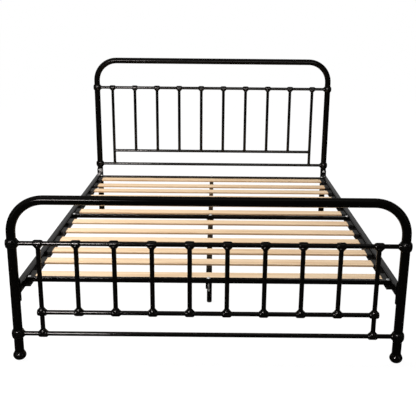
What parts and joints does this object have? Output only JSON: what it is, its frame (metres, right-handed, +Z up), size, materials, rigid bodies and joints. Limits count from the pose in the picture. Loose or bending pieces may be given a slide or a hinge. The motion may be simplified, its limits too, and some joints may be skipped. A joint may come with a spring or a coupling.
{
  "type": "metal bed frame",
  "caption": "Metal bed frame with arched tube headboard and footboard, cast knuckles on the spindle rails, ball feet, steel side and cross rails, and a timber slat base.",
  "frame": {"origin": "on the floor, under the middle of the bed", "axes": "+X to the right seen from the foot end, +Y towards the headboard, +Z up"},
  "size_m": [1.626, 2.156, 1.106],
  "materials": {
    "black_enamel_steel": "gloss black powder coat on steel tube and folded section",
    "black_cast_knuckle": "gloss black paint over a slightly rough casting",
    "black_turned_foot": "gloss black paint on a turned foot",
    "black_plastic": "moulded black plastic",
    "slat_cap_plastic": "moulded charcoal plastic",
    "zinc_plated_steel": "bright zinc plate",
    "slat_wood": "bare planed pale softwood"
  },
  "bodies": {
    "frame": {"beam_splice_channel": "black_enamel_steel", "centre_beam_foot_half": "black_enamel_steel", "centre_beam_head_half": "black_enamel_steel", "centre_bolt_nuts": "zinc_plated_steel", "centre_bolts": "zinc_plated_steel", "cross_rail_bolts": "zinc_plated_steel", "cross_rail_nuts": "zinc_plated_steel", "cross_rail_pads": "black_plastic", "foot_centre_leg": "black_enamel_steel", "foot_cross_rail": "black_enamel_steel", "footboard_ball_feet": "black_turned_foot", "footboard_bottom_knuckles": "black_cast_knuckle", "footboard_bottom_rail": "black_enamel_steel", "footboard_frame_tube": "black_enamel_steel", "footboard_middle_knuckles": "black_cast_knuckle", "footboard_middle_rail": "black_enamel_steel", "footboard_post_castings": "black_cast_knuckle", "footboard_spindles": "black_enamel_steel", "footboard_top_knuckles": "black_cast_knuckle", "footboard_upper_rail": "black_enamel_steel", "head_centre_leg": "black_enamel_steel", "head_cross_rail": "black_enamel_steel", "headboard_ball_feet": "black_turned_foot", "headboard_bottom_rail": "black_enamel_steel", "headboard_frame_tube": "black_enamel_steel", "headboard_knuckles": "black_cast_knuckle", "headboard_middle_rail": "black_enamel_steel", "headboard_post_castings": "black_cast_knuckle", "headboard_spindles": "black_enamel_steel", "headboard_upper_rail": "black_enamel_steel", "left_side_rail": "black_enamel_steel", "left_slat_angle": "black_enamel_steel", "left_slat_caps": "slat_cap_plastic", "leg_inserts": "black_plastic", "leg_plate_screws": "zinc_plated_steel", "middle_cross_rail": "black_enamel_steel", "post_insert_nuts": "zinc_plated_steel", "rail_bolt_washers": "zinc_plated_steel", "rail_bolts": "zinc_plated_steel", "rail_end_plates": "black_enamel_steel", "right_side_rail": "black_enamel_steel", "right_slat_angle": "black_enamel_steel", "right_slat_caps": "slat_cap_plastic", "slat_01": "slat_wood", "slat_02": "slat_wood", "slat_03": "slat_wood", "slat_04": "slat_wood", "slat_05": "slat_wood", "slat_06": "slat_wood", "slat_07": "slat_wood", "slat_08": "slat_wood", "slat_09": "slat_wood", "slat_10": "slat_wood", "slat_11": "slat_wood", "slat_12": "slat_wood", "splice_bolts": "zinc_plated_steel", "splice_nuts": "zinc_plated_steel"},
    "foot_glide": {"foot_levelling_glide": "black_plastic"},
    "head_glide": {"head_levelling_glide": "black_plastic"}
  },
  "joints": [
    {"name": "foot_glide_height", "type": "slide", "parent": "frame", "child": "foot_glide", "axis": [0, 0, 1], "range_m": [-0.012, 0.0015]},
    {"name": "head_glide_height", "type": "slide", "parent": "frame", "child": "head_glide", "axis": [0, 0, 1], "range_m": [-0.012, 0.0015]}
  ]
}
